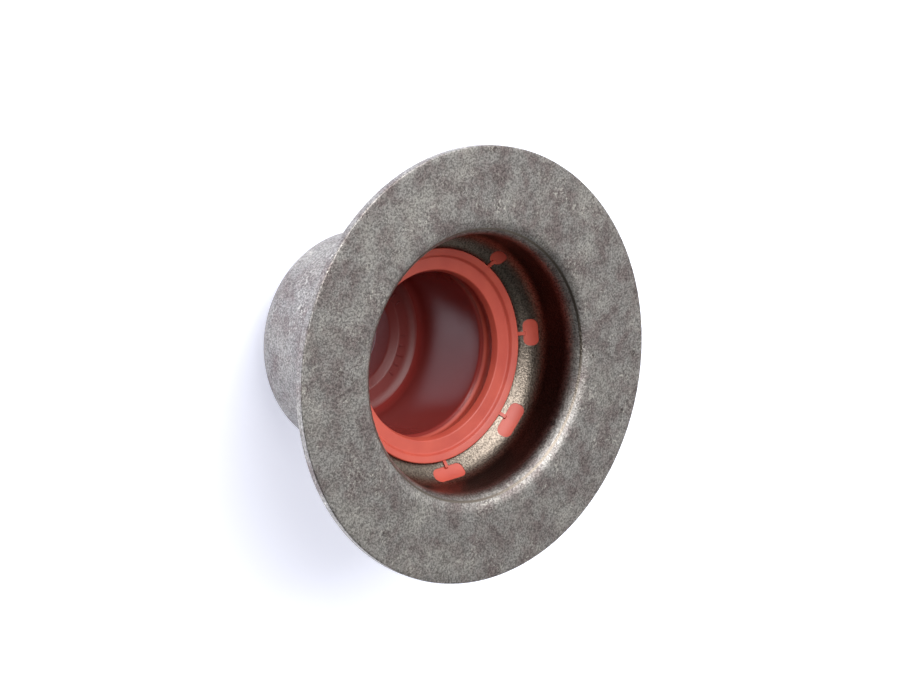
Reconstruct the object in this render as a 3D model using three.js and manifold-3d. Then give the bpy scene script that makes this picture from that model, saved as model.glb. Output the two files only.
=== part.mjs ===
// Valve stem seal with a built-on spring seat, for an 8 mm stem and a 14 mm guide.
// A case drawn from steel sheet holds one rubber moulding, whose stem lip is closed by a garter spring.
// Millimetres, +Z up: the seal stands on its lip end, with the opening for the valve guide at the top.
import * as THREE from 'three';
import { mergeVertices } from 'three/addons/utils/BufferGeometryUtils.js';
import Module from 'manifold-3d';

const wasm = await Module();
wasm.setup();

// Valve that the seal serves
const stemRadius = 4;
const guideWall = 3;

// Steel case
const sheet = 0.7;
const flangeRadius = 17;
const rimBreak = 0.12;
const mouthBend = 1.4;
const throatStep = 1.1;
const throatDepth = 3.7;
const shoulderCurve = 1.8;
const waistBend = 1.1;
const caseHeight = 18.2;
const endCorner = 3;
const endLand = 0.2;

// Slots through the shoulder, which the rubber fills
const slotAngle = 49;
const slotWidth = 1.25;
const roundSlot = 1.35;
const shortSlot = 2.2;
const longSlot = 3;
const slotCorner = 0.5;
const slotOvercut = 0.5;
const plugRecess = 0.03;
const runnerWidth = 0.32;
const runnerHeight = 0.1;
const runnerRoot = 0.3;

// Rubber seal
const bondGap = 0.05;
const guideSqueeze = 0.28;
const rubberWall = 1.53;
const floorWall = 1.15;
const floorFillet = 1.1;
const ringOverlap = 0.25;
const ringProud = 0.2;
const outerLand = 0.58;
const landDrop = 0.2;
const stepWidth = 0.15;
const stepDrop = 0.27;
const innerLand = 1;
const innerDrop = 0.09;
const guideLip = 0.22;
const guideLipDrop = 0.6;
const undercut = 0.45;
const undercutSlope = 0.22;
const undercutLength = 0.75;
const ledge = 0.1;

// Stem lip and its boss, which stands out of the case
const stemSqueeze = 0.25;
const bossWall = 1.35;
const lipReach = 2;
const lipHeight = 2.1;
const funnelRim = 0.76;
const funnelEdge = 0.16;
const funnelDrop = 0.5;
const oilSideFlare = 0.25;
const oilSideHeight = 0.35;
const endFlare = 0.45;
const flareHeight = 0.8;
const beadProud = 0.15;
const beadBreak = 0.2;

// Garter spring
const coilRadius = 0.65;
const wireRadius = 0.2;
const coilPitch = 0.525;
const springGap = 0.05;
const springClear = 0.1;

// Facets
const facets = 48;
const slotCornerFacets = 3;
const coilSteps = 7;
const wireSides = 4;

// Radii that follow from the sizes above
const boreRadius = stemRadius + guideWall - guideSqueeze;
const bodyInside = boreRadius + rubberWall + bondGap;
const bodyRadius = bodyInside + sheet;
const throatRadius = bodyRadius + throatStep;
const bossRadius = stemRadius + bossWall;
const endHole = bossRadius + bondGap;
const lipRadius = stemRadius - stemSqueeze;
const cornerRadius = Math.min(endCorner, bodyRadius - endHole - endLand);
const grooveRadius = coilRadius + springGap;

// Heights that follow from the sizes above
const faceHeight = lipReach + caseHeight;
const floorHeight = lipReach + sheet + bondGap + floorWall;
const springHeight = lipReach - springClear - grooveRadius;

// Centres of the bends in the sheet; the shoulder and the waist bend meet at shoulderSweep degrees
const sweepCosine = 1 - (sheet + throatStep) / (shoulderCurve + waistBend);
const shoulderSweep = THREE.MathUtils.radToDeg(Math.acos(sweepCosine));
const mouthCentre = new THREE.Vector2(throatRadius + mouthBend, faceHeight - mouthBend);
const shoulderCentre = new THREE.Vector2(throatRadius - shoulderCurve, faceHeight - throatDepth);
const waistCentre = polar(shoulderCentre, shoulderCurve + waistBend, -shoulderSweep);
const cornerCentre = new THREE.Vector2(bodyRadius - cornerRadius, lipReach + cornerRadius);

// Point at a radius and an angle from a centre, in the half-plane of radius and height
function polar(centre, radius, degrees) {
  const angle = THREE.MathUtils.degToRad(degrees);
  return new THREE.Vector2(centre.x + radius * Math.cos(angle), centre.y + radius * Math.sin(angle));
}

function arc(centre, radius, from, to, steps) {
  const points = [];
  for (let i = 0; i <= steps; i += 1) {
    points.push(polar(centre, radius, from + ((to - from) * i) / steps));
  }
  return points;
}

function at(radius, height) {
  return new THREE.Vector2(radius, height);
}

// Point on the shoulder, at a depth into the sheet from its open side
function onShoulder(degrees, depth) {
  return polar(shoulderCentre, shoulderCurve + depth, -degrees);
}

// Bends of the sheet, at a depth into it from its open side; a negative depth lies in the rubber
function mouthCurve(depth) {
  return arc(mouthCentre, mouthBend - depth, 90, 180, 4);
}

function shoulderCurveAt(depth) {
  return arc(shoulderCentre, shoulderCurve + depth, 0, -shoulderSweep, 6);
}

function waistCurve(depth, from) {
  return arc(waistCentre, waistBend - depth, from, 180, 3);
}

function cornerCurve(depth) {
  return arc(cornerCentre, cornerRadius - sheet + depth, 0, -90, 4);
}

function sheetSide(depth) {
  return [
    ...mouthCurve(depth),
    ...shoulderCurveAt(depth),
    ...waistCurve(depth, 180 - shoulderSweep),
    ...cornerCurve(depth),
    at(endHole, lipReach + sheet - depth),
  ];
}

// Turns a closed outline of radius and height about the Z axis
function revolve(points) {
  const outline = points.filter((point, i) => i === 0 || point.distanceTo(points[i - 1]) > 1e-3);
  if (THREE.ShapeUtils.area(outline) < 0) {
    outline.reverse();
  }
  outline.push(outline[0].clone());
  const geometry = new THREE.LatheGeometry(outline, facets);
  geometry.rotateX(Math.PI / 2);
  return geometry;
}

function toSolid(geometry) {
  const bare = geometry.clone();
  bare.deleteAttribute('normal');
  bare.deleteAttribute('uv');
  const merged = mergeVertices(bare, 1e-4);
  return new wasm.Manifold(new wasm.Mesh({
    numProp: 3,
    vertProperties: merged.attributes.position.array,
    triVerts: Uint32Array.from(merged.index.array),
  }));
}

function toGeometry(solid) {
  const mesh = solid.getMesh();
  const geometry = new THREE.BufferGeometry();
  geometry.setAttribute('position', new THREE.BufferAttribute(mesh.vertProperties, 3));
  geometry.setIndex(new THREE.BufferAttribute(mesh.triVerts, 1));
  geometry.computeVertexNormals();
  return geometry;
}

// Slots, every 45 degrees: four long ones, with two short and two nearly round ones opposite
const slotLengths = [
  longSlot, longSlot, shortSlot, roundSlot, roundSlot, shortSlot, longSlot, longSlot,
];

function slotAzimuth(index) {
  return ((index + 0.5) * 2 * Math.PI) / slotLengths.length;
}

// Round-cornered bar that stands square to the shoulder at one slot and runs through the sheet
function slotBar(index, inset) {
  const radius = slotCorner - inset;
  const reach = slotLengths[index] / 2 - slotCorner;
  const rise = slotWidth / 2 - slotCorner;
  const shape = new THREE.Shape();
  shape.absarc(reach, -rise, radius, -Math.PI / 2, 0, false);
  shape.absarc(reach, rise, radius, 0, Math.PI / 2, false);
  shape.absarc(-reach, rise, radius, Math.PI / 2, Math.PI, false);
  shape.absarc(-reach, -rise, radius, Math.PI, (3 * Math.PI) / 2, false);
  const depth = sheet + 2 * slotOvercut;
  const options = { depth, bevelEnabled: false, curveSegments: slotCornerFacets };
  const geometry = new THREE.ExtrudeGeometry(shape, options);
  geometry.translate(0, 0, -sheet - slotOvercut);
  const azimuth = slotAzimuth(index);
  const tilt = THREE.MathUtils.degToRad(slotAngle);
  const outward = new THREE.Vector3(Math.cos(azimuth), Math.sin(azimuth), 0);
  const along = new THREE.Vector3(-Math.sin(azimuth), Math.cos(azimuth), 0);
  const normal = outward.clone().multiplyScalar(-Math.cos(tilt)).setZ(Math.sin(tilt));
  const across = new THREE.Vector3().crossVectors(normal, along);
  const foot = onShoulder(slotAngle, 0);
  const place = new THREE.Matrix4().makeBasis(along, across, normal);
  place.setPosition(outward.x * foot.x, outward.y * foot.x, foot.y);
  geometry.applyMatrix4(place);
  return toSolid(geometry);
}

// Rubber that fills the slots, with both of its faces curved as the sheet is
function fillingSide(depth) {
  return [...shoulderCurveAt(depth), ...waistCurve(depth, 180 - shoulderSweep)];
}

function slotFilling() {
  return toSolid(revolve([
    ...fillingSide(plugRecess),
    ...fillingSide(sheet - bondGap).reverse(),
  ]));
}

// Length of the shoulder between the slot's centre and the waist bend
const shoulderRun = THREE.MathUtils.degToRad(shoulderSweep - slotAngle) * shoulderCurve;

// Point on the sheet at a distance from the slot's centre towards the ring, and at a depth into it
function alongSheet(distance, depth) {
  if (distance < shoulderRun) {
    return onShoulder(slotAngle + THREE.MathUtils.radToDeg(distance / shoulderCurve), depth);
  }
  const turned = THREE.MathUtils.radToDeg((distance - shoulderRun) / waistBend);
  return polar(waistCentre, waistBend - depth, 180 - shoulderSweep + turned);
}

// Thin strip of rubber that lies on the steel and joins the lower edge of a plug to the ring
function runner(index) {
  const start = slotWidth / 2 - 3 * bondGap;
  const waistRun = THREE.MathUtils.degToRad(toeAngle + shoulderSweep - 180) * waistBend;
  const stretch = shoulderRun + waistRun - start;
  const track = (depth) => {
    return [0, 0.25, 0.5, 0.75, 1].map((part) => alongSheet(start + part * stretch, depth));
  };
  const outline = [
    alongSheet(start - runnerRoot, plugRecess / 2),
    ...track(-bondGap - runnerHeight),
    ringToe(ringOverlap / 2),
    ...track(-bondGap).reverse(),
    alongSheet(start, runnerRoot),
    alongSheet(start - runnerRoot, runnerRoot),
  ];
  const options = { depth: runnerWidth, bevelEnabled: false };
  const geometry = new THREE.ExtrudeGeometry(new THREE.Shape(outline), options);
  geometry.translate(0, 0, -runnerWidth / 2);
  const azimuth = slotAzimuth(index);
  const outward = new THREE.Vector3(Math.cos(azimuth), Math.sin(azimuth), 0);
  const up = new THREE.Vector3(0, 0, 1);
  const sideways = new THREE.Vector3().crossVectors(outward, up);
  geometry.applyMatrix4(new THREE.Matrix4().makeBasis(outward, up, sideways));
  return toSolid(geometry);
}

// Outer edge of the rubber ring, where it ends on the waist bend
const ringRadius = bodyInside + ringOverlap;
const toeCosine = (waistCentre.x - ringRadius) / (waistBend + bondGap);
const toeAngle = 180 - THREE.MathUtils.radToDeg(Math.acos(toeCosine));

function ringToe(inset) {
  const foot = polar(waistCentre, waistBend + bondGap, toeAngle);
  return at(foot.x - inset, foot.y);
}

// Steel case: spring seat, throat, slotted shoulder, body and turned-in end, drawn from one sheet
function caseGeometry() {
  let solid = toSolid(revolve([
    at(flangeRadius, faceHeight - rimBreak),
    at(flangeRadius - rimBreak, faceHeight),
    ...sheetSide(0),
    ...sheetSide(sheet).reverse(),
    at(flangeRadius - rimBreak, faceHeight - sheet),
    at(flangeRadius, faceHeight - sheet + rimBreak),
  ]));
  slotLengths.forEach((_, index) => {
    solid = solid.subtract(slotBar(index, 0));
  });
  return toGeometry(solid);
}

// Ring round the mouth of the rubber: outer land, step, inner land, guide lip and undercut
function mouthOutline() {
  const toe = ringToe(0);
  const landRadius = ringRadius - outerLand;
  const landHeight = toe.y + ringProud - landDrop;
  const stepHeight = landHeight - stepDrop;
  const edgeRadius = landRadius - stepWidth - innerLand;
  const edgeHeight = stepHeight - innerDrop;
  const beadHeight = edgeHeight - guideLipDrop;
  const beadRadius = edgeRadius - guideLip;
  const undercutTop = beadHeight - undercutSlope;
  const undercutBottom = undercutTop - undercutLength;
  return [
    at(boreRadius - ledge, undercutBottom - undercutSlope),
    at(beadRadius + undercut, undercutBottom),
    at(beadRadius + undercut, undercutTop),
    at(beadRadius, beadHeight),
    at(edgeRadius, edgeHeight),
    at(landRadius - stepWidth, stepHeight),
    at(landRadius, landHeight),
    at(ringRadius - ringProud / 2, toe.y + ringProud),
    at(ringRadius, toe.y + ringProud / 2),
  ];
}

// Boss round the stem lip: groove for the garter spring, retaining bead, flare, lip and funnel
function lipOutline() {
  const beadTop = springHeight - grooveRadius;
  return [
    ...arc(at(bossRadius, springHeight), grooveRadius, 90, 270, 6),
    at(bossRadius + beadProud, beadTop - beadProud / 2),
    at(bossRadius + beadProud, beadBreak),
    at(bossRadius + beadProud - beadBreak, 0),
    at(stemRadius + endFlare, 0),
    at(lipRadius + oilSideFlare + (endFlare - oilSideFlare) / 2, flareHeight),
    at(lipRadius + oilSideFlare, lipHeight - oilSideHeight),
    at(lipRadius, lipHeight),
    at(stemRadius + funnelEdge, floorHeight - funnelDrop),
    at(stemRadius + funnelRim, floorHeight),
  ];
}

// Rubber seal, moulded in one piece in the case
function sealGeometry() {
  const filletCentre = at(boreRadius - floorFillet, floorHeight + floorFillet);
  let solid = toSolid(revolve([
    ...waistCurve(-bondGap, toeAngle),
    ...cornerCurve(-bondGap),
    at(bossRadius, lipReach + sheet + bondGap),
    ...lipOutline(),
    ...arc(filletCentre, floorFillet, -90, 0, 4),
    ...mouthOutline(),
  ]));
  const filling = slotFilling();
  slotLengths.forEach((_, index) => {
    solid = solid.add(slotBar(index, bondGap).intersect(filling)).add(runner(index));
  });
  return toGeometry(solid);
}

// Centre line of the garter spring's wire: a helix closed on itself round the boss
class GarterCoil extends THREE.Curve {
  constructor() {
    super();
    this.turns = Math.round((2 * Math.PI * bossRadius) / coilPitch);
    this.arcLengthDivisions = this.turns * coilSteps * 4;
  }

  getPoint(t, target = new THREE.Vector3()) {
    const around = 2 * Math.PI * t;
    const turn = around * this.turns;
    const radius = bossRadius + (coilRadius - wireRadius) * Math.cos(turn);
    const height = (coilRadius - wireRadius) * Math.sin(turn);
    return target.set(radius * Math.cos(around), radius * Math.sin(around), height);
  }
}

function springGeometry() {
  const coil = new GarterCoil();
  return new THREE.TubeGeometry(coil, coil.turns * coilSteps, wireRadius, wireSides, true);
}

const steel = new THREE.MeshStandardMaterial({ color: 0x8a8680, roughness: 0.55, metalness: 0.7 });
const rubber = new THREE.MeshStandardMaterial({ color: 0xb04a3f, roughness: 0.6, metalness: 0 });
const springWire = new THREE.MeshStandardMaterial({ color: 0xa9abad, roughness: 0.3, metalness: 1 });

function piece(name, geometry, material) {
  const mesh = new THREE.Mesh(geometry, material);
  mesh.name = name;
  return mesh;
}

const valveStemSeal = new THREE.Group();
const garterSpring = piece('garter_spring', springGeometry(), springWire);
garterSpring.position.z = springHeight;
valveStemSeal.add(
  piece('steel_case', caseGeometry(), steel),
  piece('rubber_seal', sealGeometry(), rubber),
  garterSpring,
);

export default valveStemSeal;
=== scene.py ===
import math

import bpy
from mathutils import Matrix, Vector


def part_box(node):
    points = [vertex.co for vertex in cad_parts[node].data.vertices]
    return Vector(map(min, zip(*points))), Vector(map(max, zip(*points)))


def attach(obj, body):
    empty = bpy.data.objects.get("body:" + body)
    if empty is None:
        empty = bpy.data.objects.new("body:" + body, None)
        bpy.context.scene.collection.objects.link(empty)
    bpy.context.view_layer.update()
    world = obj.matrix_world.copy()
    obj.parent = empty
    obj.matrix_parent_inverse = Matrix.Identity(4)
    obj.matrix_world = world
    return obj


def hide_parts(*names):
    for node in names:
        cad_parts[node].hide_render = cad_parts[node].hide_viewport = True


# Valve stem seal with a built-on spring seat, standing on its lip end with the guide opening upwards.
# Sizes are in millimetres, and MM turns them to metres. An outline's points are (radius, height), from
# the seal's axis and the floor.

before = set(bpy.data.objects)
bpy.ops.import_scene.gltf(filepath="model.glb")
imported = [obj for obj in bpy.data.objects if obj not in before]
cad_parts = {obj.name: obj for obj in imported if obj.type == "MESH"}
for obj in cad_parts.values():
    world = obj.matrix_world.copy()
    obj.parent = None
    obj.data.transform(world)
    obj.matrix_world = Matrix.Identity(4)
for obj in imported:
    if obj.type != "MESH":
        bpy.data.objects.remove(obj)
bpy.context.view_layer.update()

MM = 0.001
case_low, case_high = [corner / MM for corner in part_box("steel_case")]
spring_low, spring_high = [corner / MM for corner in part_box("garter_spring")]

# Steel case, from the frame's box and the sizes of the drawn sheet
FLANGE_RADIUS = case_high.x
FACE_HEIGHT = case_high.z
LIP_REACH = case_low.z
SHEET = 0.7
BODY_RADIUS = 9.0
THROAT_RADIUS = 10.1
THROAT_DEPTH = 3.7
MOUTH_BEND = 1.4
SHOULDER_CURVE = 1.8
WAIST_BEND = 1.1
END_CORNER = 3.0
END_HOLE = 5.4
RIM_ROUND = 0.12
FLAT_MARGIN = 0.4
FLAT_WIDTH = 4.4
FLAT_RINGS = 10
SHOULDER_CENTRE = (THROAT_RADIUS - SHOULDER_CURVE, FACE_HEIGHT - THROAT_DEPTH)
SHOULDER_STEP = SHEET + THROAT_RADIUS - BODY_RADIUS
SWEEP = math.degrees(math.acos(1 - SHOULDER_STEP / (SHOULDER_CURVE + WAIST_BEND)))

# Slots through the shoulder, and the rubber in them
SLOT_ANGLE = 49
SLOT_WIDTH = 1.25
SLOT_LENGTHS = (3.0, 3.0, 2.2, 1.35, 1.35, 2.2, 3.0, 3.0)
SLOT_CORNER = 0.54
SLOT_OVERRUN = 0.5
PLUG_GAP = 0.006
PLUG_RECESS = 0.05
PLUG_ROUND = 0.06
RUNNER_WIDTH = 0.28
RUNNER_HEIGHT = 0.1
RUNNER_LENGTH = 0.55
RUNNER_OVERLAP = 0.12
RUNNER_ROOT = 0.25
RUNNER_STEPS = 10

# Rubber seal, from the ring at the mouth down to the stem lip. SKIN keeps it clear of the steel.
SKIN = 0.01
RING_RADIUS = 8.55
RING_PROUD = 0.2
RING_STEP = 0.27
LAND_RADIUS = 7.97
LAND_DROP = 0.2
GUIDE_LIP_TOP = 6.8
GUIDE_LIP_RADIUS = 6.58
GUIDE_LIP_DROP = 0.09
UNDERCUT_RADIUS = 7.03
BORE_LEDGE_RADIUS = 6.62
BORE_RADIUS = 6.72
FLOOR_HEIGHT = 3.9
FLOOR_FILLET = 1.1
STEM_RADIUS = 4.0

# Mould marks round the far end of the bore, in groups of five: the middles and pitch in degrees
MARK_GROUPS = (84, 152, 264, 332)
MARK_PITCH = 9
MARK_LENGTHS = (0.5, 0.5, 0.72, 0.5, 0.5)
MARK_RADIUS = 5.2
MARK_WIDTH = 0.15
MARK_THICKNESS = 0.16
MARK_CENTRE_HEIGHT = FLOOR_HEIGHT + 0.01
MARK_ROUND = 0.035

# Garter spring, from the frame's box
COIL_RADIUS = (spring_high.z - spring_low.z) / 2
SPRING_HEIGHT = (spring_high.z + spring_low.z) / 2
SPRING_RADIUS = spring_high.x - COIL_RADIUS
WIRE_RADIUS = 0.19
COIL_TURNS = 64
COIL_STEPS = 20

# Fineness of the turned pieces, and the angle in degrees past which an edge shows as sharp
SEGMENTS = 192
SHORTEST_EDGE = 0.002
MERGE_DISTANCE = 0.001
SHARP_ANGLE = 40
PLUG_SHARP_ANGLE = 50


def linear(hex_colour):
    """sRGB hex value to a linear colour."""
    channels = [int(hex_colour[i:i + 2], 16) / 255 for i in (1, 3, 5)]
    return tuple(c / 12.92 if c <= 0.04045 else ((c + 0.055) / 1.055) ** 2.4 for c in channels) + (1.0,)


def polar(centre, radius, degrees):
    angle = math.radians(degrees)
    return (centre[0] + radius * math.cos(angle), centre[1] + radius * math.sin(angle))


def arc(centre, radius, start, end, steps):
    return [polar(centre, radius, start + (end - start) * i / steps) for i in range(steps + 1)]


WAIST_CENTRE = polar(SHOULDER_CENTRE, SHOULDER_CURVE + WAIST_BEND, -SWEEP)
RING_TOE_ANGLE = 180 - math.degrees(math.acos((WAIST_CENTRE[0] - RING_RADIUS) / (WAIST_BEND + SKIN)))


def soften(corners, steps=4):
    """Outline through corners given as (radius, height, rounding), each rounded by its own amount."""
    outline = []
    for i, (radius, height, rounding) in enumerate(corners):
        corner = Vector((radius, height))
        if rounding == 0 or i in (0, len(corners) - 1):
            outline.append(tuple(corner))
            continue
        before = Vector(corners[i - 1][:2]) - corner
        after = Vector(corners[i + 1][:2]) - corner
        start = corner + before.normalized() * min(rounding, before.length * 0.48)
        end = corner + after.normalized() * min(rounding, after.length * 0.48)
        for step in range(steps + 1):
            t = step / steps
            outline.append(tuple(start.lerp(corner, t).lerp(corner.lerp(end, t), t)))
    return outline


def shoulder_side(depth):
    """Shoulder and waist bend of the sheet, at a depth from its open side."""
    return [
        *arc(SHOULDER_CENTRE, SHOULDER_CURVE + depth, 0, -SWEEP, 20),
        *arc(WAIST_CENTRE, WAIST_BEND - depth, 180 - SWEEP, 180, 8),
    ]


def sheet_side(depth):
    """Face of the drawn sheet at a depth from its open side, from the flange to the turned-in end."""
    mouth_centre = (THROAT_RADIUS + MOUTH_BEND, FACE_HEIGHT - MOUTH_BEND)
    corner_centre = (BODY_RADIUS - END_CORNER, LIP_REACH + END_CORNER)
    return [
        *arc(mouth_centre, MOUTH_BEND - depth, 90, 180, 14),
        *shoulder_side(depth),
        *arc(corner_centre, END_CORNER - SHEET + depth, 0, -90, 14),
    ]


def start_piece():
    if bpy.context.object and bpy.context.object.mode != "OBJECT":
        bpy.ops.object.mode_set(mode="OBJECT")
    bpy.ops.object.select_all(action="DESELECT")


def draw_outline(outline, closed=True):
    """A chain of edges in the XZ plane, drawn by extruding one vertex along the outline."""
    start_piece()
    bpy.ops.mesh.primitive_plane_add(size=MM)
    bpy.ops.object.mode_set(mode="EDIT")
    bpy.ops.mesh.merge(type="CENTER")
    points = [Vector((radius * MM, 0, height * MM)) for radius, height in outline]
    points = [p for i, p in enumerate(points) if i == 0 or (p - points[i - 1]).length > SHORTEST_EDGE * MM]
    bpy.ops.transform.translate(value=points[0])
    for before, after in zip(points, points[1:] + points[:1] * closed):
        bpy.ops.mesh.extrude_vertices_move(TRANSFORM_OT_translate={"value": after - before})
    bpy.ops.mesh.select_all(action="SELECT")
    bpy.ops.mesh.remove_doubles(threshold=MERGE_DISTANCE * MM)
    bpy.ops.mesh.select_all(action="SELECT")


def close_up(name):
    """Merges doubles, turns the faces outwards and names the piece that is being edited."""
    bpy.ops.mesh.select_all(action="SELECT")
    bpy.ops.mesh.remove_doubles(threshold=MERGE_DISTANCE * MM)
    bpy.ops.mesh.normals_make_consistent(inside=False)
    bpy.ops.object.mode_set(mode="OBJECT")
    piece = bpy.context.object
    piece.name = name
    piece.data.name = name
    bpy.ops.object.shade_smooth_by_angle(angle=math.radians(SHARP_ANGLE))
    return piece


def turn(name, outline):
    """Turns a closed outline about the seal's axis."""
    draw_outline(outline)
    bpy.ops.mesh.spin(steps=SEGMENTS, angle=2 * math.pi, center=(0, 0, 0), axis=(0, 0, 1))
    return close_up(name)


def settle(piece, place):
    """Moves a piece to its place and leaves its object at the origin."""
    start_piece()
    piece.select_set(True)
    bpy.context.view_layer.objects.active = piece
    piece.matrix_world = place
    bpy.ops.object.transform_apply(location=True, rotation=True, scale=True)


def boolean(piece, other, operation):
    start_piece()
    piece.select_set(True)
    bpy.context.view_layer.objects.active = piece
    cut = piece.modifiers.new(operation.lower(), "BOOLEAN")
    cut.operation = operation
    cut.solver = "EXACT"
    cut.object = other
    bpy.ops.object.modifier_apply(modifier=cut.name)
    bpy.data.objects.remove(other)
    piece.select_set(True)
    bpy.ops.object.shade_smooth_by_angle(angle=math.radians(SHARP_ANGLE))


def join(name, parts):
    start_piece()
    for part in parts:
        part.select_set(True)
    bpy.context.view_layer.objects.active = parts[0]
    bpy.ops.object.join()
    parts[0].name = name
    return parts[0]


def slot_azimuth(index):
    return (index + 0.5) * 2 * math.pi / len(SLOT_LENGTHS)


def slot_place(index):
    """Place of a slot on the shoulder: X along the slot, Z out of the sheet on its open side."""
    azimuth = slot_azimuth(index)
    tilt = math.radians(SLOT_ANGLE)
    along = Vector((-math.sin(azimuth), math.cos(azimuth), 0))
    outward = Vector((math.cos(azimuth), math.sin(azimuth), 0))
    normal = Vector((-math.cos(tilt) * outward.x, -math.cos(tilt) * outward.y, math.sin(tilt)))
    across = normal.cross(along)
    radius, height = polar(SHOULDER_CENTRE, SHOULDER_CURVE, -SLOT_ANGLE)
    foot = Vector((outward.x * radius, outward.y * radius, height)) * MM
    axes = Matrix((along, across, normal)).transposed().to_4x4()
    return Matrix.Translation(foot) @ axes


def slot_bar(index, inset):
    """Round-cornered bar of a slot's outline, which runs right through the sheet."""
    start_piece()
    bpy.ops.mesh.primitive_plane_add(size=MM, location=(0, 0, -(SHEET + SLOT_OVERRUN) * MM))
    piece = bpy.context.object
    piece.scale = (SLOT_LENGTHS[index] - 2 * inset, SLOT_WIDTH - 2 * inset, 1)
    bpy.ops.object.transform_apply(location=True, rotation=True, scale=True)
    bpy.ops.object.mode_set(mode="EDIT")
    bpy.ops.mesh.select_all(action="SELECT")
    bpy.ops.mesh.bevel(offset=(SLOT_CORNER - inset) * MM, segments=8, affect="VERTICES")
    bpy.ops.mesh.select_all(action="SELECT")
    through = {"value": (0, 0, (SHEET + 2 * SLOT_OVERRUN) * MM)}
    bpy.ops.mesh.extrude_region_move(TRANSFORM_OT_translate=through)
    piece = close_up("slot_bar")
    settle(piece, slot_place(index))
    return piece


def slot_bars(inset):
    return join("slot_bars", [slot_bar(index, inset) for index in range(len(SLOT_LENGTHS))])


def make_plugs():
    """Rubber that fills the slots, level with the steel on both of its faces and round at its edges."""
    filling = turn("slot_filling", shoulder_side(PLUG_RECESS) + shoulder_side(SHEET - PLUG_GAP)[::-1])
    plugs = slot_bars(PLUG_GAP)
    boolean(plugs, filling, "INTERSECT")
    edges = plugs.modifiers.new("edges", "BEVEL")
    edges.width = PLUG_ROUND * MM
    edges.segments = 3
    edges.limit_method = "ANGLE"
    edges.angle_limit = math.radians(PLUG_SHARP_ANGLE)
    bpy.ops.object.modifier_apply(modifier=edges.name)
    bpy.ops.object.shade_smooth_by_angle(angle=math.radians(PLUG_SHARP_ANGLE))
    return plugs


def along_sheet(distance, depth):
    """Point on the sheet, at a distance from the slot's centre towards the ring and a depth into it."""
    shoulder_run = math.radians(SWEEP - SLOT_ANGLE) * SHOULDER_CURVE
    if distance < shoulder_run:
        turned = math.degrees(distance / SHOULDER_CURVE)
        return polar(SHOULDER_CENTRE, SHOULDER_CURVE + depth, -SLOT_ANGLE - turned)
    turned = math.degrees((distance - shoulder_run) / WAIST_BEND)
    return polar(WAIST_CENTRE, WAIST_BEND - depth, 180 - SWEEP + turned)


def runner(index):
    """Thin strip of rubber on the steel, from the lower edge of a plug to the ring."""
    start = SLOT_WIDTH / 2 - RUNNER_OVERLAP
    end = start + RUNNER_LENGTH
    stations = [start + (end - start) * i / RUNNER_STEPS for i in range(RUNNER_STEPS + 1)]
    outline = [
        along_sheet(start - RUNNER_OVERLAP, PLUG_RECESS + 0.02),
        *[along_sheet(station, -SKIN - RUNNER_HEIGHT) for station in stations],
        *[along_sheet(station, -SKIN) for station in reversed(stations)],
        along_sheet(start, RUNNER_ROOT),
        along_sheet(start - RUNNER_OVERLAP, RUNNER_ROOT),
    ]
    draw_outline(outline)
    bpy.ops.mesh.edge_face_add()
    bpy.ops.transform.translate(value=(0, -RUNNER_WIDTH / 2 * MM, 0))
    side = {"value": (0, RUNNER_WIDTH * MM, 0)}
    bpy.ops.mesh.extrude_region_move(TRANSFORM_OT_translate=side)
    piece = close_up("runner")
    settle(piece, Matrix.Rotation(slot_azimuth(index), 4, "Z"))
    return piece


def make_case():
    """Steel case: rim, flange, throat, shoulder, body and turned-in end, then the pierced slots."""
    round_rim = (
        arc((FLANGE_RADIUS - RIM_ROUND, FACE_HEIGHT - SHEET + RIM_ROUND), RIM_ROUND, -90, 0, 4)
        + arc((FLANGE_RADIUS - RIM_ROUND, FACE_HEIGHT - RIM_ROUND), RIM_ROUND, 0, 90, 4)
    )
    flat = [FLANGE_RADIUS - FLAT_MARGIN - FLAT_WIDTH * i / FLAT_RINGS for i in range(FLAT_RINGS + 1)]
    top_flat = [(radius, FACE_HEIGHT) for radius in flat]
    under_flat = [(radius, FACE_HEIGHT - SHEET) for radius in reversed(flat)]
    outline = [
        *round_rim,
        *top_flat,
        *sheet_side(0),
        (END_HOLE, LIP_REACH + SHEET),
        (END_HOLE, LIP_REACH),
        *reversed(sheet_side(SHEET)),
        *under_flat,
    ]
    case = turn("case_shell", outline)
    boolean(case, slot_bars(0), "DIFFERENCE")
    return case


def mouth_outline():
    """Ring at the mouth, from the bore's ledge to the ring's foot on the steel."""
    toe = polar(WAIST_CENTRE, WAIST_BEND + SKIN, RING_TOE_ANGLE)
    land = toe[1] + RING_PROUD - LAND_DROP
    step = land - RING_STEP
    edge = step - GUIDE_LIP_DROP
    return soften([
        (BORE_RADIUS - 0.06, edge - 3.2, 0),
        (BORE_LEDGE_RADIUS, edge - 2.05, 0.12),
        (UNDERCUT_RADIUS, edge - 1.62, 0.1),
        (UNDERCUT_RADIUS, edge - 0.82, 0.14),
        (GUIDE_LIP_RADIUS, edge - 0.58, 0.1),
        (GUIDE_LIP_TOP, edge, 0.09),
        (LAND_RADIUS - 0.15, step, 0.1),
        (LAND_RADIUS, land, 0.07),
        (RING_RADIUS - 0.05, toe[1] + RING_PROUD, 0.1),
        (toe[0], toe[1], 0),
    ])


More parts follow.
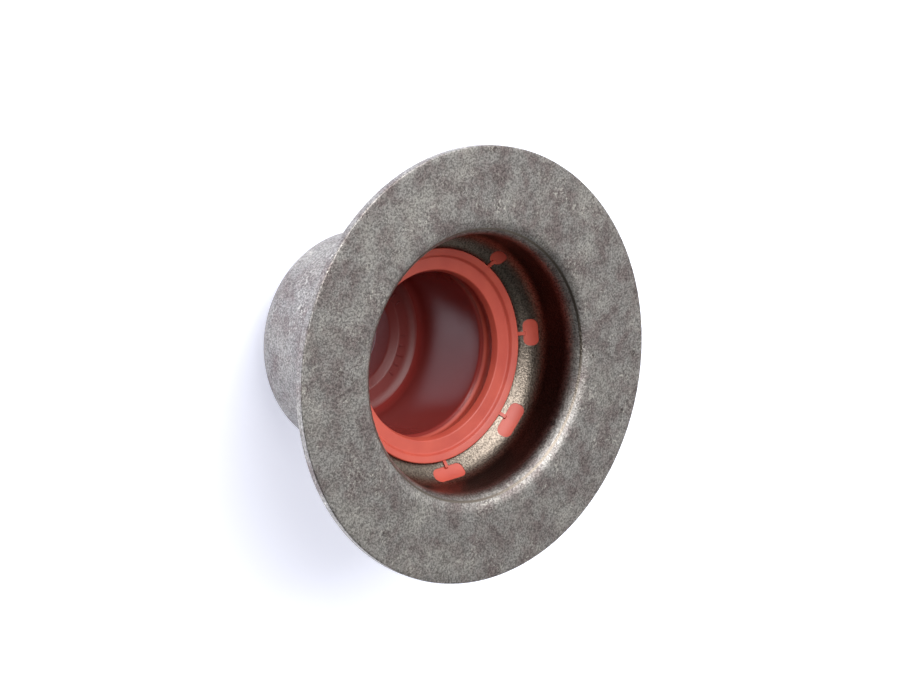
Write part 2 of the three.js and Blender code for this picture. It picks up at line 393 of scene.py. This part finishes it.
def lip_outline():
    """Boss of the stem lip, from the case's hole round the end face to the floor of the bore."""
    boss = END_HOLE - 0.05
    groove = COIL_RADIUS + 0.05
    return [
        (boss, LIP_REACH + SHEET + SKIN),
        *arc((SPRING_RADIUS, SPRING_HEIGHT), groove, 90, 270, 14),
        *soften([
            (SPRING_RADIUS, SPRING_HEIGHT - groove, 0),
            (boss + 0.15, SPRING_HEIGHT - groove - 0.08, 0.05),
            (boss + 0.15, 0.15, 0.1),
            (boss - 0.05, 0, 0.08),
            (STEM_RADIUS + 0.45, 0, 0.08),
            (STEM_RADIUS + 0.1, 0.8, 0.3),
            (STEM_RADIUS, 1.75, 0.1),
            (STEM_RADIUS - 0.25, 2.1, 0.04),
            (STEM_RADIUS + 0.16, FLOOR_HEIGHT - 0.5, 0.1),
            (STEM_RADIUS + 0.76, FLOOR_HEIGHT, 0.1),
            (BORE_RADIUS - FLOOR_FILLET, FLOOR_HEIGHT, 0),
        ]),
    ]


def tick_marks():
    """Plain raised mould marks round the far end of the bore, in four groups of five."""
    marks = []
    centre = (MARK_RADIUS * MM, 0, MARK_CENTRE_HEIGHT * MM)
    first = -(len(MARK_LENGTHS) // 2)
    for middle in MARK_GROUPS:
        for step, length in enumerate(MARK_LENGTHS, first):
            start_piece()
            bpy.ops.mesh.primitive_cube_add(size=MM, location=centre)
            mark = bpy.context.object
            mark.scale = (length, MARK_WIDTH, MARK_THICKNESS)
            bpy.ops.object.transform_apply(location=True, rotation=True, scale=True)
            bpy.ops.object.mode_set(mode="EDIT")
            bpy.ops.mesh.select_all(action="SELECT")
            bpy.ops.mesh.bevel(offset=MARK_ROUND * MM, segments=2, affect="EDGES")
            mark = close_up("tick_mark")
            settle(mark, Matrix.Rotation(math.radians(middle + MARK_PITCH * step), 4, "Z"))
            marks.append(mark)
    return marks


def make_rubber():
    """Rubber seal: one moulding of the ring, bore, floor and stem lip, with its plugs and runners."""
    fillet_centre = (BORE_RADIUS - FLOOR_FILLET, FLOOR_HEIGHT + FLOOR_FILLET)
    skin_corner = (BODY_RADIUS - END_CORNER, LIP_REACH + END_CORNER)
    outline = [
        *arc(WAIST_CENTRE, WAIST_BEND + SKIN, RING_TOE_ANGLE, 180, 6),
        *arc(skin_corner, END_CORNER - SHEET - SKIN, 0, -90, 12),
        *lip_outline(),
        *arc(fillet_centre, FLOOR_FILLET, -90, 0, 10),
        *mouth_outline(),
    ]
    moulding = turn("rubber_moulding", outline)
    runners = [runner(index) for index in range(len(SLOT_LENGTHS))]
    return join("rubber_moulding", [moulding, make_plugs(), *runners, *tick_marks()])


def make_spring():
    """Garter spring: a helix of drawn wire closed on itself round the boss."""
    start_piece()
    coil = bpy.data.curves.new("garter_coil", "CURVE")
    coil.dimensions = "3D"
    coil.bevel_depth = WIRE_RADIUS * MM
    coil.bevel_resolution = 3
    spline = coil.splines.new("POLY")
    spline.points.add(COIL_TURNS * COIL_STEPS - 1)
    spline.use_cyclic_u = True
    for i, point in enumerate(spline.points):
        around = 2 * math.pi * i / (COIL_TURNS * COIL_STEPS)
        turned = around * COIL_TURNS
        radius = SPRING_RADIUS + (COIL_RADIUS - WIRE_RADIUS) * math.cos(turned)
        height = SPRING_HEIGHT + (COIL_RADIUS - WIRE_RADIUS) * math.sin(turned)
        place = Vector((radius * math.cos(around), radius * math.sin(around), height)) * MM
        point.co = (*place, 1)
    piece = bpy.data.objects.new("garter_coil", coil)
    bpy.context.scene.collection.objects.link(piece)
    piece.select_set(True)
    bpy.context.view_layer.objects.active = piece
    bpy.ops.object.convert(target="MESH")
    bpy.ops.object.shade_smooth()
    return bpy.context.object


def add(tree, kind, inputs=None, **settings):
    """Adds a node with its settings and its inputs, each a plain value or the output it is linked to."""
    made = tree.nodes.new(kind)
    for name, value in settings.items():
        setattr(made, name, value)
    for name, value in (inputs or {}).items():
        if isinstance(value, bpy.types.NodeSocket):
            tree.links.new(value, made.inputs[name])
        else:
            made.inputs[name].default_value = value
    return made


def new_material(name):
    material = bpy.data.materials.new(name)
    material.use_nodes = True
    tree = material.node_tree
    tree.nodes.clear()
    shader = add(tree, "ShaderNodeBsdfPrincipled")
    add(tree, "ShaderNodeOutputMaterial", {"Surface": shader.outputs[0]})
    return material, tree, shader


def make_masks(tree, patterns, zones, overlaps):
    """Masks of a finish over its piece: its noise patterns, its zones, and where two of them meet."""
    place = add(tree, "ShaderNodeTexCoord").outputs["Object"]
    flat = add(tree, "ShaderNodeVectorMath", {0: place, 1: (1, 1, 0)}, operation="MULTIPLY").outputs[0]
    radius = add(tree, "ShaderNodeVectorMath", {0: flat}, operation="LENGTH").outputs["Value"]
    height = add(tree, "ShaderNodeSeparateXYZ", {0: place}).outputs["Z"]
    below = {0: FACE_HEIGHT * MM, 1: height}
    depth = add(tree, "ShaderNodeMath", below, operation="SUBTRACT").outputs[0]
    measured = {"radius": radius, "depth": depth}
    masks = {"all_over": 1.0}
    for name, (size, detail, rough, low, high) in patterns.items():
        field = add(
            tree, "ShaderNodeTexNoise",
            {"Vector": place, "Scale": 1 / (size * MM), "Detail": detail, "Roughness": rough},
        )
        levels = {"Value": field.outputs["Fac"], "From Min": low, "From Max": high}
        masks[name] = add(tree, "ShaderNodeMapRange", levels).outputs[0]
    for name, (measure, start, full) in zones.items():
        levels = {"Value": measured[measure], "From Min": start * MM, "From Max": full * MM}
        masks[name] = add(tree, "ShaderNodeMapRange", levels, interpolation_type="SMOOTHSTEP").outputs[0]
    for name, (first, second) in overlaps.items():
        pair = {0: masks[first], 1: masks[second]}
        masks[name] = add(tree, "ShaderNodeMath", pair, operation="MULTIPLY").outputs[0]
    return masks


# Patterns of the phosphate coat, from noise: the size of its grains in millimetres, its detail and
# roughness, and the levels at which it starts to show and is full
COAT_PATTERNS = {
    "patches": (1.7, 5, 0.62, 0.42, 0.6),
    "clouds": (3.6, 6, 0.65, 0.48, 0.68),
    "stains": (1.1, 6, 0.7, 0.56, 0.72),
    "crystals": (0.15, 3, 0.6, 0.32, 0.68),
    "specks": (0.22, 4, 0.65, 0.52, 0.66),
    "worn": (2.2, 4, 0.6, 0.5, 0.64),
    "scratches": (0.55, 6, 0.75, 0.56, 0.66),
    "rubbed": (3.4, 3, 0.5, 0.52, 0.64),
}

# Zones of the case, by the distance from its axis or the depth under its face in millimetres: where
# each starts to show and where it is full
CASE_ZONES = {
    "throat_side": ("radius", 10.55, 10.2),
    "over_waist": ("depth", 6.5, 6.3),
    "under_mouth": ("depth", 0.45, 1.9),
    "shoulder": ("depth", 3.6, 4.6),
    "line_outside": ("radius", 10.72, 10.66),
    "line_inside": ("radius", 10.5, 10.56),
    "line_top": ("depth", 0.6, 0.5),
}

# What shows only where two patterns or two zones of the case meet
CASE_OVERLAPS = {
    "flecks": ("specks", "worn"),
    "scuffs": ("scratches", "rubbed"),
    # The drawn zone sets where the throat and shoulder are smoother, and where their colour is painted
    # darker as shade
    "drawn_in": ("throat_side", "over_waist"),
    "drawn": ("drawn_in", "under_mouth"),
    "line_band": ("line_outside", "line_inside"),
    "line": ("line_band", "line_top"),
}


def phosphated_steel():
    # Deep-drawn mild steel with a manganese phosphate coat: a matt, mottled grey with brown patches,
    # salt-and-pepper crystals, and pale scuffs where the bare metal starts to show. The punch leaves the
    # throat and the shoulder smoother, and burnishes a thin line round the mouth bend. Their colour is
    # also painted darker, a painted shade inside the mouth: near black on the throat, a warmer grey on
    # the shoulder. The crystals are drawn coarser than the real 0.01 mm, so that they show.
    material, tree, shader = new_material("phosphated_steel")
    masks = make_masks(tree, COAT_PATTERNS, CASE_ZONES, CASE_OVERLAPS)
    grain = add(
        tree, "ShaderNodeMapRange", {"Value": masks["crystals"], "To Min": 0.6, "To Max": 1.45},
        interpolation_type="SMOOTHSTEP",
    ).outputs[0]
    # Painted shade inside the mouth: near black on the throat, a warmer grey on the shoulder, times the
    # coat's crystals
    mouth_painted_shade = linear("#322e2b")
    for mask, shade, how in (
        ("shoulder", linear("#7c7268"), "MIX"),
        ("all_over", grain, "MULTIPLY"),
    ):
        mixed = {0: masks[mask], 6: mouth_painted_shade, 7: shade}
        mouth_painted_shade = add(tree, "ShaderNodeMix", mixed, data_type="RGBA", blend_type=how).outputs[2]
    colour = linear("#969390")
    for mask, shade, how in (
        ("patches", linear("#7f7674"), "MIX"),
        ("clouds", linear("#a09d98"), "MIX"),
        ("stains", linear("#635c59"), "MIX"),
        ("all_over", grain, "MULTIPLY"),
        ("flecks", linear("#d6d2ca"), "MIX"),
        ("scuffs", linear("#c9c5be"), "MIX"),
        # The drawn zone takes the painted shade of the mouth
        ("drawn", mouth_painted_shade, "MIX"),
        ("line", linear("#7d756c"), "MIX"),
    ):
        mixed = {0: masks[mask], 6: colour, 7: shade}
        colour = add(tree, "ShaderNodeMix", mixed, data_type="RGBA", blend_type=how).outputs[2]
    tree.links.new(colour, shader.inputs["Base Color"])
    rough = add(
        tree, "ShaderNodeMapRange", {"Value": masks["flecks"], "To Min": 0.48, "To Max": 0.4},
        interpolation_type="SMOOTHSTEP",
    ).outputs[0]
    for mask, smoother in (("drawn", 0.34), ("line", 0.3)):
        mixed = {0: masks[mask], 2: rough, 3: smoother}
        rough = add(tree, "ShaderNodeMix", mixed, data_type="FLOAT").outputs[0]
    tree.links.new(rough, shader.inputs["Roughness"])
    shader.inputs["Metallic"].default_value = 1.0
    relief = {"Strength": 0.7, "Distance": 0.02 * MM, "Height": masks["crystals"]}
    tree.links.new(add(tree, "ShaderNodeBump", relief).outputs[0], shader.inputs["Normal"])
    return material


# Patterns of the moulded rubber, the zones of its bore, and where they meet, given as the case's are
MOULD_PATTERNS = {
    "clouds": (2.4, 3, 0.5, 0.35, 0.65),
    "spark_grain": (0.09, 2, 0.55, 0.35, 0.65),
}
# The bore zones set where the bore's wall is smoother, and where its colour is painted darker as shade
BORE_ZONES = {
    "core_side": ("radius", BORE_RADIUS + 0.2, BORE_RADIUS + 0.05),
    "under_lip": ("depth", 7.3, 7.6),
    "wall_side": ("radius", BORE_RADIUS - 0.6, BORE_RADIUS - 0.2),
}
BORE_OVERLAPS = {
    "bore": ("core_side", "under_lip"),
    "wall": ("bore", "wall_side"),
}


def fluoro_rubber():
    # Brick-red fluoro rubber. The core pin that makes the bore is polished on its side, so the bore's
    # wall is smooth and shows a hazy glow, while its end is dull. Deep in the bore the colour is painted
    # darker, a painted shade, darkest at its far end. The ring, from a spark-eroded mould, is dull too.
    material, tree, shader = new_material("fluoro_rubber")
    masks = make_masks(tree, MOULD_PATTERNS, BORE_ZONES, BORE_OVERLAPS)
    # Painted shade deep in the bore: a darker brick red on its wall, darkest at its far end
    inside = add(
        tree, "ShaderNodeMix", {0: masks["wall"], 6: linear("#702420"), 7: linear("#85302c")},
        data_type="RGBA",
    ).outputs[2]
    colour = linear("#bf5140")
    # The bore zone takes that painted shade
    for mask, shade in (("clouds", linear("#b5483a")), ("bore", inside)):
        mixed = {0: masks[mask], 6: colour, 7: shade}
        colour = add(tree, "ShaderNodeMix", mixed, data_type="RGBA").outputs[2]
    tree.links.new(colour, shader.inputs["Base Color"])
    rough = add(
        tree, "ShaderNodeMapRange", {"Value": masks["wall"], "To Min": 0.5, "To Max": 0.24},
        interpolation_type="SMOOTHSTEP",
    ).outputs[0]
    tree.links.new(rough, shader.inputs["Roughness"])
    shader.inputs["IOR"].default_value = 1.6
    relief = {"Strength": 0.25, "Distance": 0.006 * MM, "Height": masks["spark_grain"]}
    tree.links.new(add(tree, "ShaderNodeBump", relief).outputs[0], shader.inputs["Normal"])
    return material


def spring_wire():
    # Cold-drawn spring steel wire: bright and smooth, with faint cloudy tints from the drawing grease.
    material, tree, shader = new_material("spring_wire")
    place = add(tree, "ShaderNodeTexCoord").outputs["Object"]
    field = add(
        tree, "ShaderNodeTexNoise",
        {"Vector": place, "Scale": 1 / (0.4 * MM), "Detail": 3, "Roughness": 0.55},
    )
    levels = {"Value": field.outputs["Fac"], "From Min": 0.35, "From Max": 0.65}
    clouds = add(tree, "ShaderNodeMapRange", levels).outputs[0]
    mixed = {0: clouds, 6: linear("#b9babb"), 7: linear("#a3a19d")}
    colour = add(tree, "ShaderNodeMix", mixed, data_type="RGBA").outputs[2]
    tree.links.new(colour, shader.inputs["Base Color"])
    shader.inputs["Metallic"].default_value = 1.0
    shader.inputs["Roughness"].default_value = 0.3
    return material


def dress(piece, material, node):
    piece.data.materials.clear()
    piece.data.materials.append(material)
    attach(piece, "root")
    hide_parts(node)


# Camera of the photograph, fitted to the rims of the flange, ring and bore: lens and sensor in
# millimetres, roll in degrees
CAMERA_PLACE = Vector((0.82, -130.86, 170.96)) * MM
CAMERA_AIM = Vector((-1.62, -3.67, 20.2)) * MM
CAMERA_ROLL = 102.07
CAMERA_LENS = 104
CAMERA_SENSOR = 36
NEAREST_SEEN = 0.005

# Light: a wide soft key from the camera's upper right, in white surroundings with a dark side in
# front. Sizes are in metres, power in watts, and the dark side's edges in degrees from its middle.
KEY_WAY = Vector((-0.45, -0.26, 0.86))
KEY_AIM = Vector((0, 0, 12)) * MM
KEY_DISTANCE = 0.45
KEY_SIZE = 0.42
KEY_POWER = 2.9
DIM_WAY = Vector((0.5, -0.35, 0.8))
ROOM_LIGHT = 1.0
ROOM_DIM = 0.06
DIM_OUTER = 95
DIM_INNER = 35

# White card under the seal: its width in metres, and what it glows with where the camera and the
# shiny pieces see it
CARD_WIDTH = 6
CARD_LIFT = 0.6
CARD_SHINE = 0.75


def make_camera():
    camera = bpy.data.objects.new("camera", bpy.data.cameras.new("camera"))
    bpy.context.scene.collection.objects.link(camera)
    look = (CAMERA_AIM - CAMERA_PLACE).to_track_quat("-Z", "Y").to_matrix().to_4x4()
    roll = Matrix.Rotation(math.radians(CAMERA_ROLL), 4, "Z")
    camera.matrix_world = Matrix.Translation(CAMERA_PLACE) @ look @ roll
    camera.data.lens = CAMERA_LENS
    camera.data.sensor_width = CAMERA_SENSOR
    camera.data.clip_start = NEAREST_SEEN
    bpy.context.scene.camera = camera


def make_floor():
    """White card, which keeps the seal's shadow and shows as white in its metal and rubber."""
    start_piece()
    bpy.ops.mesh.primitive_plane_add(size=CARD_WIDTH, location=(0, 0, 0))
    floor = bpy.context.object
    floor.name = "floor"
    material, tree, shader = new_material("white_card")
    shader.inputs["Base Color"].default_value = linear("#eef1f7")
    shader.inputs["Roughness"].default_value = 0.9
    shader.inputs["Emission Color"].default_value = linear("#eceeff")
    path = add(tree, "ShaderNodeLightPath")
    seen = {0: path.outputs["Is Camera Ray"], 1: CARD_LIFT}
    lift = add(tree, "ShaderNodeMath", seen, operation="MULTIPLY").outputs[0]
    mirrored = {0: path.outputs["Is Glossy Ray"], 1: CARD_SHINE}
    shine = add(tree, "ShaderNodeMath", mirrored, operation="MULTIPLY").outputs[0]
    glow = add(tree, "ShaderNodeMath", {0: lift, 1: shine}, operation="ADD").outputs[0]
    tree.links.new(glow, shader.inputs["Emission Strength"])
    floor.data.materials.append(material)


def make_key():
    """Square soft lamp that shines at the seal."""
    lamp = bpy.data.objects.new("key_softbox", bpy.data.lights.new("key_softbox", "AREA"))
    bpy.context.scene.collection.objects.link(lamp)
    way = KEY_WAY.normalized()
    facing = way.to_track_quat("Z", "Y").to_matrix().to_4x4()
    lamp.matrix_world = Matrix.Translation(KEY_AIM + way * KEY_DISTANCE) @ facing
    lamp.data.shape = "SQUARE"
    lamp.data.size = KEY_SIZE
    lamp.data.energy = KEY_POWER


def make_world():
    """White surroundings, dim on the side that the photographer stands on."""
    world = bpy.data.worlds.new("studio")
    bpy.context.scene.world = world
    world.use_nodes = True
    tree = world.node_tree
    tree.nodes.clear()
    way = add(tree, "ShaderNodeTexCoord").outputs["Generated"]
    aimed = {0: way, 1: DIM_WAY.normalized()}
    facing = add(tree, "ShaderNodeVectorMath", aimed, operation="DOT_PRODUCT").outputs["Value"]
    falloff = {
        "Value": facing,
        "From Min": math.cos(math.radians(DIM_OUTER)),
        "From Max": math.cos(math.radians(DIM_INNER)),
        "To Min": ROOM_LIGHT,
        "To Max": ROOM_DIM,
    }
    light = add(tree, "ShaderNodeMapRange", falloff, interpolation_type="SMOOTHSTEP").outputs[0]
    path = add(tree, "ShaderNodeLightPath")
    shown = {"Value": path.outputs["Is Camera Ray"], "To Min": light, "To Max": 1.0}
    strength = add(tree, "ShaderNodeMapRange", shown).outputs[0]
    sky = add(tree, "ShaderNodeBackground", {"Color": linear("#ffffff"), "Strength": strength})
    add(tree, "ShaderNodeOutputWorld", {"Surface": sky.outputs[0]})


make_camera()
make_floor()
make_world()
make_key()

dress(make_case(), phosphated_steel(), "steel_case")
dress(make_rubber(), fluoro_rubber(), "rubber_seal")
dress(make_spring(), spring_wire(), "garter_spring")

bpy.context.scene.view_settings.view_transform = "Standard"
